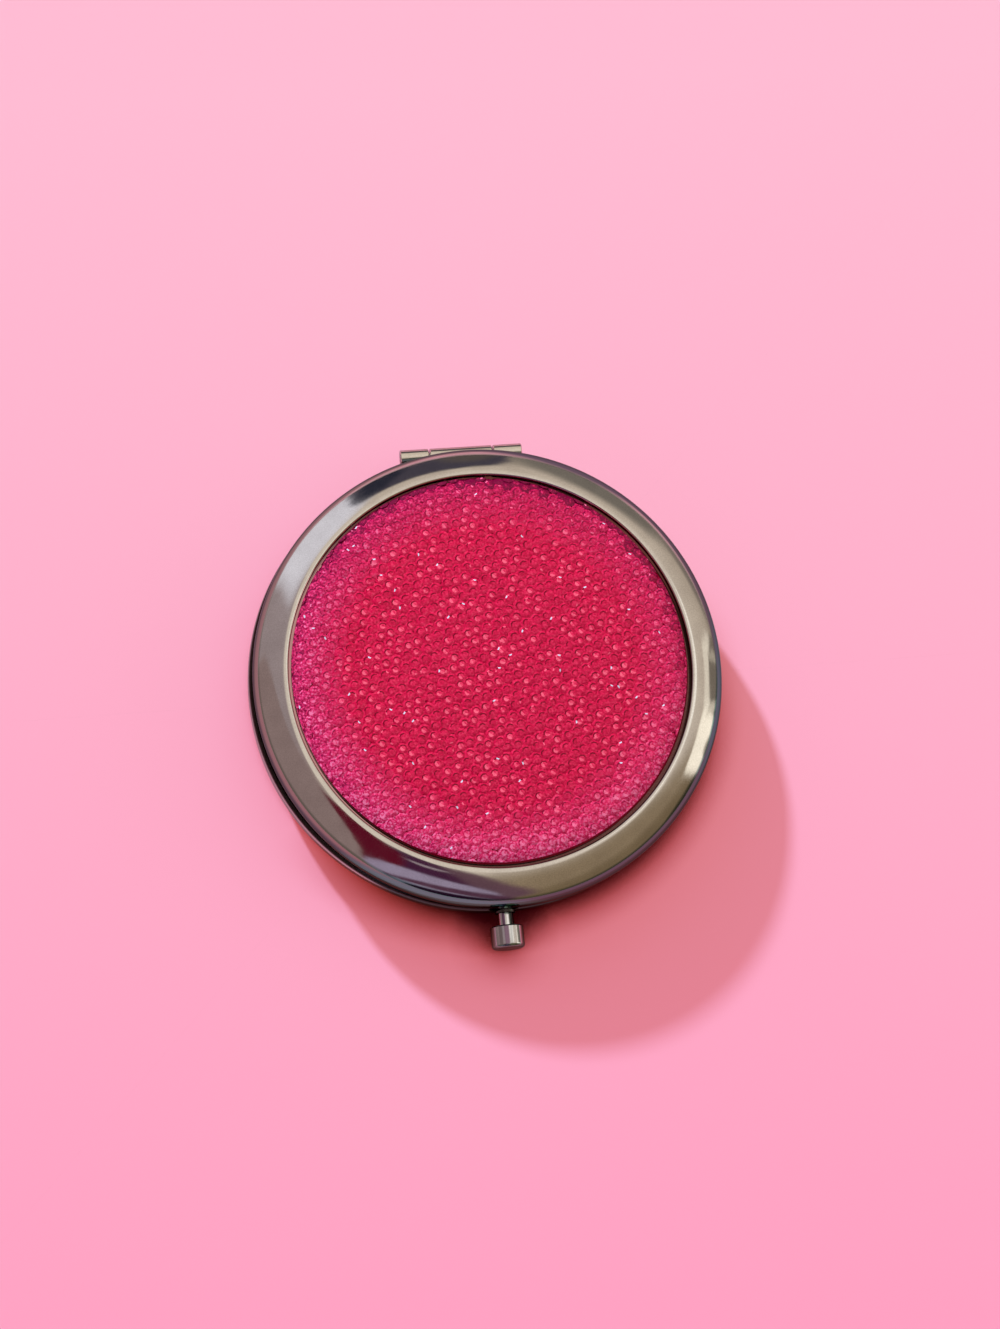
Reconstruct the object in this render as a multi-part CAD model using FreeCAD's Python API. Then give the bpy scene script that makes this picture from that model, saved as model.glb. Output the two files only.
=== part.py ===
import FreeCAD, Part
import math
import os

# A round push-button compact mirror, in millimetres, lying closed on its base.
# The origin is the centre of the ring that the base rests on. +Z is up, the push button
# points to -Y and the hinge is at +Y. Heights named "height", "drop" or "setback" are
# measured from the parting plane between the two halves, upwards in the lid and downwards
# in the base. Places named "reach" are measured from the base's axis towards the button.
# The lid's own axis is set off from the base's along the hinge, to +X, by the lid's shift.

V = FreeCAD.Vector
LID = 1
BASE = -1

# Case: two stamped shells of one outline
case_radius = 35.0
sheet = 0.6
rim_gap = 0.3
rim_turn_in = 0.65
widest_height = 1.3
wall_height = 2.3
edge_radius = 2.8
edge_turn = 50.0
flange_width = 5.2
lip_round = 0.35
lip_land = 0.25
recess_depth = 1.4
lid_shift = 0.65

# Mirrors and the moulded trays that hold them
mirror_inset = 7.5
mirror_thickness = 1.5
mirror_setback = 0.5
mirror_fit = 0.2
mirror_bevel = 0.3
magnifier_dish = 0.4
tape_thickness = 0.2
tape_margin = 2.0
tray_setback = 0.5
tray_flange = 1.0
tray_wall = 0.8
tray_floor = 0.8
tray_gap = 0.4
tray_round = 0.2
pad_thickness = 0.8
pad_margin = 2.0

# Crystal panel in the lid's recess
panel_gap = 0.5
panel_film = 0.2
panel_film_margin = 0.5
panel_edge = 0.5
panel_dome_radius = 480.0
panel_round_radius = 8.0
panel_round_width = 3.1
stone_height = 0.5

# Barrel hinge
hinge_setback = 0.25
hinge_length = 18.6
centre_knuckle = 9.5
knuckle_radius = 1.15
knuckle_gap = 0.2
knuckle_break = 0.12
pin_radius = 0.5
pin_fit = 0.03
leaf_sheet = 0.5
leaf_tab = 1.55
leaf_weld_gap = 0.1
cove_clearance = 0.25
notch_clearance = 0.15

# Push button
stem_radius = 1.15
stem_fit = 0.05
stem_drop = 2.0
stem_show = 2.2
stem_break = 0.15
collar_radius = 1.6
collar_thickness = 0.4
collar_gap = 0.05
bush_wall = 0.3
bush_length = 1.5
bush_proud = 0.25
knob_radius = 2.45
knob_length = 3.3
knob_round = 0.55
knob_break = 0.2
knob_socket = 2.0
press_fit = 0.02
button_travel = 1.0

# Latch: a spring tongue on the lid hooks under a bracket in the base
tongue_sheet = 0.4
tongue_width = 3.4
tongue_room = 1.7
tongue_gap = 0.2
tongue_slot_fit = 0.2
tongue_foot_width = 8.6
stem_end_gap = 0.1
barb_reach = 0.45
barb_height = 0.6
barb_gap = 0.08
bracket_sheet = 0.4
bracket_margin = 0.3
bracket_side_gap = 0.3
bracket_depth = 2.2
ear_width = 3.5
notch_side_gap = 0.2

# Return spring on the stem
spring_wire_radius = 0.12
spring_turns = 3
spring_stem_gap = 0.15
spring_samples = 8

# Rivets that hold the bracket and the tongue to the trays
rivet_radius = 0.45
rivet_head_radius = 0.8
rivet_head_height = 0.25
rivet_round_share = 0.8
rivet_fit = 0.02

cut_overrun = 1.0

# Levels along the case's height, stacked up from the parting plane
tray_back = tray_setback + tray_flange
mirror_face = tray_setback + mirror_setback
mirror_back = mirror_face + mirror_thickness
well_floor = mirror_back + tape_thickness
well_back = well_floor + tray_floor
shell_inside = well_back + pad_thickness
recess_floor = shell_inside + sheet
half_height = recess_floor + recess_depth
parting_z = half_height
barb_top = stem_drop + stem_radius + stem_fit + bracket_margin + barb_gap
stem_z = parting_z - stem_drop

# Radii
lip_radius = case_radius - flange_width
mirror_radius = case_radius - mirror_inset
rim_outer = case_radius - rim_turn_in
rim_inner = rim_outer - sheet
tray_radius = rim_inner - tray_gap
well_radius = mirror_radius + mirror_fit
well_outer = well_radius + tray_wall
panel_radius = lip_radius - panel_gap

# Reaches from the axis to the parts of the latch, from the inside out
tongue_inner = well_outer + tongue_room
tongue_outer = tongue_inner + tongue_sheet
stem_end = tongue_outer + stem_end_gap
seat_inner = tongue_outer + tongue_gap
seat_outer = seat_inner + bracket_sheet
bracket_end = seat_inner + bracket_depth
rivet_reach = (seat_inner + bracket_end) / 2
bush_end = case_radius + bush_proud
bush_start = bush_end - bush_length
collar_end = bush_start - collar_gap
collar_start = collar_end - collar_thickness
knob_start = case_radius + stem_show
knob_end = knob_start + knob_length
notch_inner = tongue_inner - button_travel + stem_end_gap

# Half widths of the latch
stem_hole = stem_radius + stem_fit
bush_radius = stem_hole + bush_wall
cheek_inner = collar_radius + bracket_side_gap
cheek_outer = cheek_inner + bracket_sheet
bracket_rivet_x = cheek_outer + ear_width / 2
tongue_rivet_x = (tongue_width + tongue_foot_width) / 4

# Hinge
hinge_y = case_radius + hinge_setback
outer_knuckle = (hinge_length - centre_knuckle) / 2 - knuckle_gap
strap_top = knuckle_radius
strap_bottom = knuckle_radius - leaf_sheet


def axis_x(side):
    """X of a half's own axis."""
    return lid_shift if side == LID else 0


def level(side, height):
    """Z of a height above the parting plane in the lid, or below it in the base."""
    return parting_z + side * height


def block(x0, x1, y0, y1, z0, z1):
    low = V(min(x0, x1), min(y0, y1), min(z0, z1))
    return Part.makeBox(abs(x1 - x0), abs(y1 - y0), abs(z1 - z0), low)


def front_block(half_width, reach0, reach1, side0, height0, side1, height1):
    """Block astride the centre line at the button's end of the case."""
    return block(-half_width, half_width, -reach0, -reach1,
                 level(side0, height0), level(side1, height1))


def front_rod(radius, reach0, reach1):
    """Round bar along the button's axis."""
    return Part.makeCylinder(radius, reach1 - reach0, V(0, -reach0, stem_z), V(0, -1, 0))


def hinge_rod(radius, x0, x1):
    """Round bar along the hinge's axis."""
    return Part.makeCylinder(radius, x1 - x0, V(x0, hinge_y, parting_z), V(1, 0, 0))


def round_edges(solid):
    return [e for e in solid.Edges if isinstance(e.Curve, Part.Circle)]


def tangent_mid(start, heading, end):
    """Middle point of the arc that leaves start along heading and ends at end, in (r, h) pairs."""
    chord = (end[0] - start[0], end[1] - start[1])
    normal = (-heading[1], heading[0])
    across = chord[0] * normal[0] + chord[1] * normal[1]
    radius = (chord[0] ** 2 + chord[1] ** 2) / (2 * across)
    centre = (start[0] + normal[0] * radius, start[1] + normal[1] * radius)
    middle = ((start[0] + end[0]) / 2 - centre[0], (start[1] + end[1]) / 2 - centre[1])
    stretch = abs(radius) / math.hypot(*middle)
    return (centre[0] + middle[0] * stretch, centre[1] + middle[1] * stretch)


def corner_mid(start, corner, end):
    """Middle point of a quarter round that turns at corner."""
    share = 1 - math.sqrt(0.5)
    return tuple(s * share + e * share + c * (1 - 2 * share) for s, c, e in zip(start, corner, end))


def turned(steps, side):
    """Solid of revolution about a half's own axis. Each step is a (radius, height) point, or a pair
    of points for an arc: its middle and its end."""
    def place(p):
        return V(axis_x(side) + p[0], 0, level(side, p[1]))

    edges = []
    here = steps[0]
    for step in steps[1:] + steps[:1]:
        if isinstance(step[0], tuple):
            edges.append(Part.Arc(place(here), place(step[0]), place(step[1])).toShape())
            here = step[1]
        else:
            edges.append(Part.LineSegment(place(here), place(step)).toShape())
            here = step
    solid = Part.Face(Part.Wire(edges)).revolve(V(axis_x(side), 0, 0), V(0, 0, 1), 360)
    return upright(Part.Solid(solid))


def upright(solid):
    """The solid with its faces pointing outwards."""
    if solid.Volume < 0:
        solid.reverse()
    return solid


def one_solid(shape):
    """A clean copy of a shape that has to be a single solid."""
    cleaned = shape.removeSplitter()
    if len(cleaned.Solids) != 1:
        raise ValueError("expected one solid, found %d" % len(cleaned.Solids))
    return cleaned.Solids[0]


def rim_inside_radius(height):
    """Radius of a shell's inside on its turned-in rim."""
    rise = widest_height - rim_gap / 2
    bend = (rim_turn_in ** 2 + rise ** 2) / (2 * rim_turn_in)
    return case_radius - sheet - bend + math.sqrt(bend ** 2 - (widest_height - height) ** 2)


def plain_shell(side):
    """Dished shell: turned-in rim, short wall, round edge, sloping shoulder, rounded lip and a flat
    recessed panel."""
    up = (0, 1)
    down = (0, -1)
    turn = math.radians(edge_turn)
    along = (-math.sin(turn), math.cos(turn))
    rim_edge = (rim_outer, rim_gap / 2)
    widest = (case_radius, widest_height)
    wall_top = (case_radius, wall_height)
    edge_end = (case_radius - edge_radius * (1 - math.cos(turn)), wall_height + edge_radius * math.sin(turn))
    crest_outer = (lip_radius + lip_round + lip_land, half_height)
    crest_inner = (lip_radius + lip_round, half_height)
    lip_corner = (lip_radius, half_height)
    lip_end = (lip_radius, half_height - lip_round)
    fold_inside = (lip_radius + sheet, half_height - sheet)
    edge_end_inside = (edge_end[0] - sheet * math.cos(turn), edge_end[1] - sheet * math.sin(turn))
    wall_top_inside = (case_radius - sheet, wall_height)
    widest_inside = (case_radius - sheet, widest_height)
    rim_edge_inside = (rim_inner, rim_gap / 2)
    return turned([
        rim_edge,
        (tangent_mid(widest, down, rim_edge), widest),
        wall_top,
        (tangent_mid(wall_top, up, edge_end), edge_end),
        (tangent_mid(edge_end, along, crest_outer), crest_outer),
        crest_inner,
        (corner_mid(crest_inner, lip_corner, lip_end), lip_end),
        (lip_radius, recess_floor),
        (0, recess_floor),
        (0, shell_inside),
        (lip_radius + sheet, shell_inside),
        fold_inside,
        (tangent_mid(edge_end_inside, along, fold_inside), edge_end_inside),
        (tangent_mid(wall_top_inside, up, edge_end_inside), wall_top_inside),
        widest_inside,
        (tangent_mid(widest_inside, down, rim_edge_inside), rim_edge_inside),
    ], side)


def hinge_cutter(side, spans):
    """Cove round the hinge barrel, with a notch for each strap in spans of X."""
    half = hinge_length / 2 + notch_clearance
    cove = hinge_rod(knuckle_radius + cove_clearance, -half, half)
    top = strap_top + notch_clearance
    inside = rim_inner - cut_overrun - sheet
    for start, end in spans:
        notch = block(start - notch_clearance, end + notch_clearance, inside, hinge_y,
                      level(side, 0), level(side, top))
        cove = cove.fuse(notch)
    return cove


def knuckle_spans(side):
    """X spans of the knuckles that belong to one half."""
    if side == LID:
        return [(-centre_knuckle / 2, centre_knuckle / 2)]
    end = hinge_length / 2
    return [(-end, outer_knuckle - end), (end - outer_knuckle, end)]


def lid_shell():
    return one_solid(plain_shell(LID).cut(hinge_cutter(LID, knuckle_spans(LID))))


def base_shell():
    """The base also has a hole in its front wall for the stem's bush."""
    bush_hole = front_rod(bush_radius + press_fit, tray_radius, case_radius + cut_overrun)
    shell = plain_shell(BASE).cut(hinge_cutter(BASE, knuckle_spans(BASE)))
    return one_solid(shell.cut(bush_hole))


def hinge_leaf(side):
    """Curved tab welded inside the shell's rim, with straps rolled into knuckles."""
    half = hinge_length / 2
    tab_outer = rim_inside_radius(strap_bottom) - leaf_weld_gap
    tab_inner = tab_outer - leaf_sheet
    foot = level(side, strap_bottom)
    tab_end = level(side, strap_bottom + leaf_tab)
    tab_low = V(axis_x(side), 0, min(foot, tab_end))
    ring = Part.makeCylinder(tab_outer, leaf_tab, tab_low)
    ring = ring.cut(Part.makeCylinder(tab_inner, leaf_tab, tab_low))
    leaf = ring.common(block(-half, half, 0, case_radius, foot, tab_end))
    bores = []
    for start, end in knuckle_spans(side):
        barrel = hinge_rod(knuckle_radius, start, end)
        barrel = barrel.makeChamfer(knuckle_break, round_edges(barrel))
        strap = block(start, end, 0, hinge_y, level(side, strap_bottom), level(side, strap_top))
        strap = strap.cut(Part.makeCylinder(tab_inner, 2 * half_height, V(axis_x(side), 0, 0)))
        leaf = leaf.fuse([barrel, strap])
        bores.append(hinge_rod(pin_radius + pin_fit, start - cut_overrun, end + cut_overrun))
    return one_solid(leaf.cut(bores))


def hinge_pin():
    """Plain pin through all three knuckles, its ends chamfered."""
    half = hinge_length / 2
    pin = hinge_rod(pin_radius, -half, half)
    return one_solid(pin.makeChamfer(knuckle_break, round_edges(pin)))


def plain_tray(side):
    """Tray with a well for the mirror and a flange that fills the rim."""
    well_lip = (well_radius + tray_round, tray_setback)
    well_corner = (well_radius, tray_setback)
    well_side = (well_radius, tray_setback + tray_round)
    edge_start = (tray_radius - tray_round, tray_setback)
    edge_corner = (tray_radius, tray_setback)
    edge_side = (tray_radius, tray_setback + tray_round)
    return turned([
        (0, well_floor),
        (well_radius, well_floor),
        well_side,
        (corner_mid(well_side, well_corner, well_lip), well_lip),
        edge_start,
        (corner_mid(edge_start, edge_corner, edge_side), edge_side),
        (tray_radius, tray_back),
        (well_outer, tray_back),
        (well_outer, well_back),
        (0, well_back),
    ], side)


def rivet_holes(rivet_x):
    """Holes through a tray flange, a bracket or a tongue for a pair of rivets."""
    radius = rivet_radius + rivet_fit
    height = 2 * half_height
    return [Part.makeCylinder(radius, height, V(x, -rivet_reach, 0)) for x in (-rivet_x, rivet_x)]


def lid_tray():
    """The lid's tray has a slot that the latch tongue comes through."""
    slot = front_block(tongue_width / 2 + tongue_slot_fit, tongue_inner - tongue_slot_fit,
                       tongue_outer + tongue_slot_fit, LID, 0, LID, tray_back + cut_overrun)
    return one_solid(plain_tray(LID).cut([slot] + rivet_holes(tongue_rivet_x)))


def base_tray():
    """The base's tray is notched at the front for the latch bracket and the tongue."""
    notch = front_block(cheek_outer + notch_side_gap, notch_inner, case_radius,
                        BASE, 0, BASE, tray_back + cut_overrun)
    return one_solid(plain_tray(BASE).cut([notch] + rivet_holes(bracket_rivet_x)))


def disc(side, radius, height0, height1, x, y):
    low = min(level(side, height0), level(side, height1))
    return Part.makeCylinder(radius, abs(height1 - height0), V(x, y, low))


def mirror_tape(side):
    return disc(side, mirror_radius - tape_margin, mirror_back, well_floor, axis_x(side), 0)


def tray_pad(side):
    return disc(side, mirror_radius - pad_margin, well_back, shell_inside, axis_x(side), 0)


def lid_mirror():
    """Flat glass with a ground bevel round its face."""
    return turned([
        (0, mirror_face),
        (mirror_radius - mirror_bevel, mirror_face),
        (mirror_radius, mirror_face + mirror_bevel),
        (mirror_radius, mirror_back),
        (0, mirror_back),
    ], LID)


def base_mirror():
    """Magnifying glass: its face is dished to a shallow sphere."""
    rim = mirror_radius - mirror_bevel
    bottom = mirror_face + magnifier_dish
    bend = (rim ** 2 + magnifier_dish ** 2) / (2 * magnifier_dish)
    half_turn = math.asin(rim / bend) / 2
    middle = (bend * math.sin(half_turn), bottom - bend * (1 - math.cos(half_turn)))
    return turned([
        (0, bottom),
        (middle, (rim, mirror_face)),
        (mirror_radius, mirror_face),
        (mirror_radius, mirror_back),
        (0, mirror_back),
    ], BASE)


def crown_curve(edge_height):
    """Top of the crystal panel: a shallow dome that rounds off towards its edge. Gives the edge, the
    round's middle, the point where it meets the dome, the dome's middle and the top."""
    dome_turn = math.asin((panel_radius - panel_round_width) / panel_dome_radius)
    centres_apart = panel_dome_radius - panel_round_radius
    round_centre = centres_apart * math.sin(dome_turn)
    rim_turn = math.asin((panel_radius - round_centre) / panel_round_radius)
    round_level = edge_height - panel_round_radius * math.cos(rim_turn)
    dome_level = round_level - centres_apart * math.cos(dome_turn)

    def on_dome(turn):
        return (panel_dome_radius * math.sin(turn), dome_level + panel_dome_radius * math.cos(turn))

    middle_turn = (dome_turn + rim_turn) / 2
    round_mid = (round_centre + panel_round_radius * math.sin(middle_turn),
                 round_level + panel_round_radius * math.cos(middle_turn))
    edge = (panel_radius, edge_height)
    return edge, round_mid, on_dome(dome_turn), on_dome(dome_turn / 2), on_dome(0)


def crystal_film():
    film_radius = panel_radius - panel_film_margin
    return disc(LID, film_radius, recess_floor, recess_floor + panel_film, axis_x(LID), 0)


def crystal_base():
    """Clear-cast disc with a crowned top, which carries the stones."""
    bottom = recess_floor + panel_film
    edge, round_mid, meet, dome_mid, top = crown_curve(bottom + panel_edge)
    return turned([(0, bottom), (panel_radius, bottom), edge, (round_mid, meet), (dome_mid, top)], LID)


def rhinestone_layer():
    """Layer of close-set stones, as the one skin that their tables lie on."""
    bottom = recess_floor + panel_film + panel_edge
    edge, round_mid, meet, dome_mid, top = crown_curve(bottom)
    edge_up, round_mid_up, meet_up, dome_mid_up, top_up = crown_curve(bottom + stone_height)
    return turned([top, (dome_mid, meet), (round_mid, edge),
                   edge_up, (round_mid_up, meet_up), (dome_mid_up, top_up)], LID)


def push_stem():
    """Turned stem with a collar that stops it inside the front wall."""
    stem = front_rod(stem_radius, stem_end, knob_start + knob_socket)
    stem = stem.makeChamfer(stem_break, round_edges(stem))
    return one_solid(stem.fuse(front_rod(collar_radius, collar_start, collar_end)))


def push_knob():
    """Round-nosed knob pressed on to the stem."""
    knob = front_rod(knob_radius, knob_start, knob_end)
    nose = [e for e in round_edges(knob) if e.CenterOfMass.y < -(knob_start + knob_end) / 2]
    knob = knob.makeFillet(knob_round, nose)
    heel = [e for e in round_edges(knob) if abs(e.CenterOfMass.y + knob_start) < press_fit]
    knob = knob.makeChamfer(knob_break, heel)
    socket_end = knob_start + knob_socket + press_fit
    socket = front_rod(stem_radius + press_fit, knob_start - cut_overrun, socket_end)
    return one_solid(knob.cut(socket))


def stem_bush():
    """Plain bush pressed into the front wall."""
    tube = front_rod(bush_radius, bush_start, bush_end)
    return one_solid(tube.cut(front_rod(stem_hole, bush_start - cut_overrun, bush_end + cut_overrun)))


def push_spring():
    """Coil spring between the bracket's seat and the stem's collar: one unbroken wire."""
    coil_radius = stem_radius + spring_stem_gap + spring_wire_radius
    start = seat_outer + spring_wire_radius
    run = collar_start - spring_wire_radius - start
    quarters = 4 * spring_turns

    def on_coil(quarter):
        turn = quarter * math.pi / 2
        return V(coil_radius * math.cos(turn), -(start + run * quarter / quarters),
                 stem_z + coil_radius * math.sin(turn))

    arcs = [Part.Arc(on_coil(q), on_coil(q + 1 / 2), on_coil(q + 1)).toShape() for q in range(quarters)]
    first = arcs[0]
    heading = first.tangentAt(first.FirstParameter)
    section = Part.Wire(Part.makeCircle(spring_wire_radius, on_coil(0), heading))
    coil = upright(Part.Solid(Part.Wire(arcs).makePipeShell([section], True, False)))
    points = [on_coil(step / spring_samples) for step in range(spring_samples * quarters + 1)]
    half_turn = 2 * spring_samples
    least = min(a.distanceToPoint(b) for i, a in enumerate(points) for b in points[i + half_turn:])
    print("spring: least gap between turns %.3f" % (least - 2 * spring_wire_radius))
    return coil


def latch_bracket():
    """Bent bracket: a seat with the stem's hole, two cheeks, and an ear each side under the tray."""
    bottom = barb_top - barb_gap
    seat = front_block(cheek_outer, seat_inner, seat_outer, BASE, tray_setback, BASE, bottom)
    cheeks = front_block(cheek_outer, seat_inner, bracket_end, BASE, tray_setback, BASE, bottom)
    ears = front_block(cheek_outer + ear_width, seat_inner, bracket_end,
                       BASE, tray_back, BASE, tray_back + bracket_sheet)
    between = front_block(cheek_inner, seat_inner, bracket_end, BASE, 0, BASE, half_height)
    hole = front_rod(stem_hole, seat_inner - cut_overrun, seat_outer + cut_overrun)
    bracket = seat.fuse([cheeks.cut(between), ears.cut(between)])
    return one_solid(bracket.cut([hole] + rivet_holes(bracket_rivet_x)))


def catch_tongue():
    """Spring strip: a foot on the back of the lid's tray, a blade and an outward barb."""
    half = tongue_width / 2
    top = tray_back + tongue_sheet
    tip = barb_top + barb_height
    foot = front_block(tongue_foot_width / 2, tongue_inner, bracket_end, LID, tray_back, LID, top)
    blade = front_block(half, tongue_inner, tongue_outer, LID, top, BASE, tip)
    corners = [(tongue_outer, barb_top), (seat_inner + barb_reach, barb_top), (tongue_outer, tip)]
    outline = [V(-half, -reach, level(BASE, drop)) for reach, drop in corners + corners[:1]]
    barb = Part.Face(Part.makePolygon(outline)).extrude(V(tongue_width, 0, 0))
    return one_solid(foot.fuse([blade, barb]).cut(rivet_holes(tongue_rivet_x)))


def rivet_pair(side, rivet_x, grip):
    """Two rivets through a tray's flange and the strip behind it."""
    front = tray_setback
    back = tray_back + grip
    rivets = []
    for x in (-rivet_x, rivet_x):
        shank = disc(side, rivet_radius, front, back, x, -rivet_reach)
        head = disc(side, rivet_head_radius, front - rivet_head_height, front, x, -rivet_reach)
        tail = disc(side, rivet_head_radius, back, back + rivet_head_height, x, -rivet_reach)
        rims = [e for e in round_edges(head)
                if abs(e.CenterOfMass.z - level(side, front)) > rivet_head_height / 2]
        head = head.makeFillet(rivet_round_share * rivet_head_height, rims)
        rivets.append(one_solid(shank.fuse([head, tail])))
    return Part.makeCompound(rivets)


pieces = {
    "lid_shell": lid_shell(),
    "base_shell": base_shell(),
    "lid_hinge_leaf": hinge_leaf(LID),
    "base_hinge_leaf": hinge_leaf(BASE),
    "hinge_pin": hinge_pin(),
    "lid_tray": lid_tray(),
    "base_tray": base_tray(),
    "lid_tray_pad": tray_pad(LID),
    "base_tray_pad": tray_pad(BASE),
    "lid_mirror_tape": mirror_tape(LID),
    "base_mirror_tape": mirror_tape(BASE),
    "lid_mirror": lid_mirror(),
    "base_magnifying_mirror": base_mirror(),
    "crystal_film": crystal_film(),
    "crystal_base": crystal_base(),
    "rhinestone_layer": rhinestone_layer(),
    "push_stem": push_stem(),
    "push_knob": push_knob(),
    "stem_bush": stem_bush(),
    "push_spring": push_spring(),
    "latch_bracket": latch_bracket(),
    "latch_bracket_rivets": rivet_pair(BASE, bracket_rivet_x, bracket_sheet),
    "catch_tongue": catch_tongue(),
    "catch_tongue_rivets": rivet_pair(LID, tongue_rivet_x, tongue_sheet),
}

os.makedirs("parts", exist_ok=True)
for node, shape in pieces.items():
    if not shape.isValid():
        raise ValueError(node + " is not a valid shape")
    shape.exportStep("parts/" + node + ".step")
    print("%-24s %d solid, volume %9.2f" % (node, len(shape.Solids), shape.Volume))
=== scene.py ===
import bpy
import bmesh
import math
import random
from mathutils import Matrix, Vector


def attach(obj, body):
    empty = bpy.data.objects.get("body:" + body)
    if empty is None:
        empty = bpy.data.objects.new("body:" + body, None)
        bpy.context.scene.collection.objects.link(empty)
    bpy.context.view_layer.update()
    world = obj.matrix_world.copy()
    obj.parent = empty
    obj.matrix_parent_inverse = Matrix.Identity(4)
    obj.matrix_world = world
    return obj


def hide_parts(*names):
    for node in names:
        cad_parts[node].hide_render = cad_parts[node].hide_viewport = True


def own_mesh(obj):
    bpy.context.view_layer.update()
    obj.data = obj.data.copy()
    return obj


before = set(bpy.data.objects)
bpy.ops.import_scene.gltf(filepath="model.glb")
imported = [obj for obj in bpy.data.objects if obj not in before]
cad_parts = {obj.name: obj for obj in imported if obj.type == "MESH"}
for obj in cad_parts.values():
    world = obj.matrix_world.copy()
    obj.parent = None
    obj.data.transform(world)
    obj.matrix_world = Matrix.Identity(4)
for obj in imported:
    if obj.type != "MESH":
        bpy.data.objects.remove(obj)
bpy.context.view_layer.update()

mm = 0.001
weldGap = 1e-7  # vertices nearer than this, in metres, are one
scene = bpy.context.scene

# sizes in mm, as the frame has them
case = {"radius": 34.99, "parting": 6.3, "halfHeight": 6.3, "sheet": 0.6, "rimGap": 0.3,
        "turnIn": 0.65, "widest": 1.3, "wallTop": 2.3, "edgeRadius": 2.8, "edgeTurn": 50,
        "lip": 29.8, "lipRound": 0.35, "lipLand": 0.25, "recess": 1.4, "lidShift": 0.65,
        "seamSet": 0.2, "segments": 288}
hinge = {"y": 35.25, "length": 18.6, "centre": 9.5, "gap": 0.2, "radius": 1.15, "clear": 0.25,
         "notch": 0.15, "strapTop": 1.15, "notchStart": 32.15, "overrun": 0.2, "segments": 96}
button = {"axisHeight": 4.3, "stem": 1.15, "stemEnd": 30.7, "stemBreak": 0.15, "stemTip": 39.2,
          "collar": 1.6, "collarSpan": (33.3, 33.7), "bush": 1.5, "bushHole": 1.2,
          "bushSpan": (33.75, 35.25), "bushBreak": 0.06, "knob": 2.45, "knobSpan": (37.2, 40.5),
          "knobRound": 0.55, "roundSteps": 10, "knobBreak": 0.2, "socket": 1.17,
          "socketEnd": 39.22, "holeMiddle": 34.2, "holeLength": 2.6, "holeGap": 0.02,
          "segments": 96}
print("frame loaded:", len(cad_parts), "nodes")


# node helpers
def addNode(tree, kind, inputs=None, **settings):
    node = tree.nodes.new(kind)
    for key, value in settings.items():
        setattr(node, key, value)
    for key, value in (inputs or {}).items():
        if isinstance(value, bpy.types.NodeSocket):
            tree.links.new(value, node.inputs[key])
        else:
            node.inputs[key].default_value = value
    return node


def maths(tree, operation, *values, **settings):
    return addNode(tree, "ShaderNodeMath", dict(enumerate(values)), operation=operation,
                   **settings).outputs[0]


def vectors(tree, operation, *values):
    node = addNode(tree, "ShaderNodeVectorMath", dict(enumerate(values)), operation=operation)
    return node.outputs["Value" if operation in ("DOT_PRODUCT", "LENGTH") else "Vector"]


def objectCoords(tree):
    return addNode(tree, "ShaderNodeTexCoord").outputs["Object"]


def splitAxes(tree, vector):
    return addNode(tree, "ShaderNodeSeparateXYZ", {0: vector}).outputs


def attribute(tree, name):
    return addNode(tree, "ShaderNodeAttribute", attribute_name=name).outputs["Fac"]


def newFinish(name, sockets):
    finish = bpy.data.materials.new(name)
    finish.use_nodes = True
    shader = finish.node_tree.nodes["Principled BSDF"]
    for key, value in sockets.items():
        shader.inputs[key].default_value = value
    return finish, finish.node_tree, shader


def objectNoise(tree, scale, detail, stretch=(1, 1, 1)):
    place = addNode(tree, "ShaderNodeMapping", {"Vector": objectCoords(tree), "Scale": stretch})
    noise = addNode(tree, "ShaderNodeTexNoise", {"Vector": place.outputs["Vector"],
                                                 "Scale": scale, "Detail": detail})
    return noise.outputs["Fac"]


def ranged(tree, value, low, high, start=0.3, end=0.7):  # by default the middle of a noise
    node = addNode(tree, "ShaderNodeMapRange", {"Value": value, "From Min": start,
                                                "From Max": end, "To Min": low, "To Max": high})
    return node.outputs["Result"]


def blended(tree, share, first, second):
    mix = addNode(tree, "ShaderNodeMix", data_type="RGBA")
    tree.links.new(share, mix.inputs["Factor"])
    for socket, value in (("A", first), ("B", second)):
        target = [s for s in mix.inputs if s.name == socket and s.type == "RGBA"][0]
        if isinstance(value, bpy.types.NodeSocket):
            tree.links.new(value, target)
        else:
            target.default_value = (*value, 1)
    return [s for s in mix.outputs if s.type == "RGBA"][0]


def rampOf(tree, value, stops):
    ramp = addNode(tree, "ShaderNodeValToRGB", {"Fac": value})
    marks = ramp.color_ramp.elements
    while len(marks) < len(stops):
        marks.new(1.0)
    for mark, (position, colour) in zip(marks, stops):
        mark.position, mark.color = position, (*colour, 1)
    return ramp.outputs["Color"]


def bumpOn(tree, shader, height, strength, depth):
    bump = addNode(tree, "ShaderNodeBump", {"Height": height, "Strength": strength,
                                            "Distance": depth})
    tree.links.new(bump.outputs["Normal"], shader.inputs["Normal"])


# mesh helpers: a profile is drawn from single vertices in the XZ plane, in mm, then spun
def startLine(bm, point):
    return bm.verts.new((point[0] * mm, 0, point[1] * mm))


def runTo(bm, here, point):
    there = bmesh.ops.extrude_vert_indiv(bm, verts=[here])["verts"][0]
    there.co = (point[0] * mm, 0, point[1] * mm)
    return there


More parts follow.
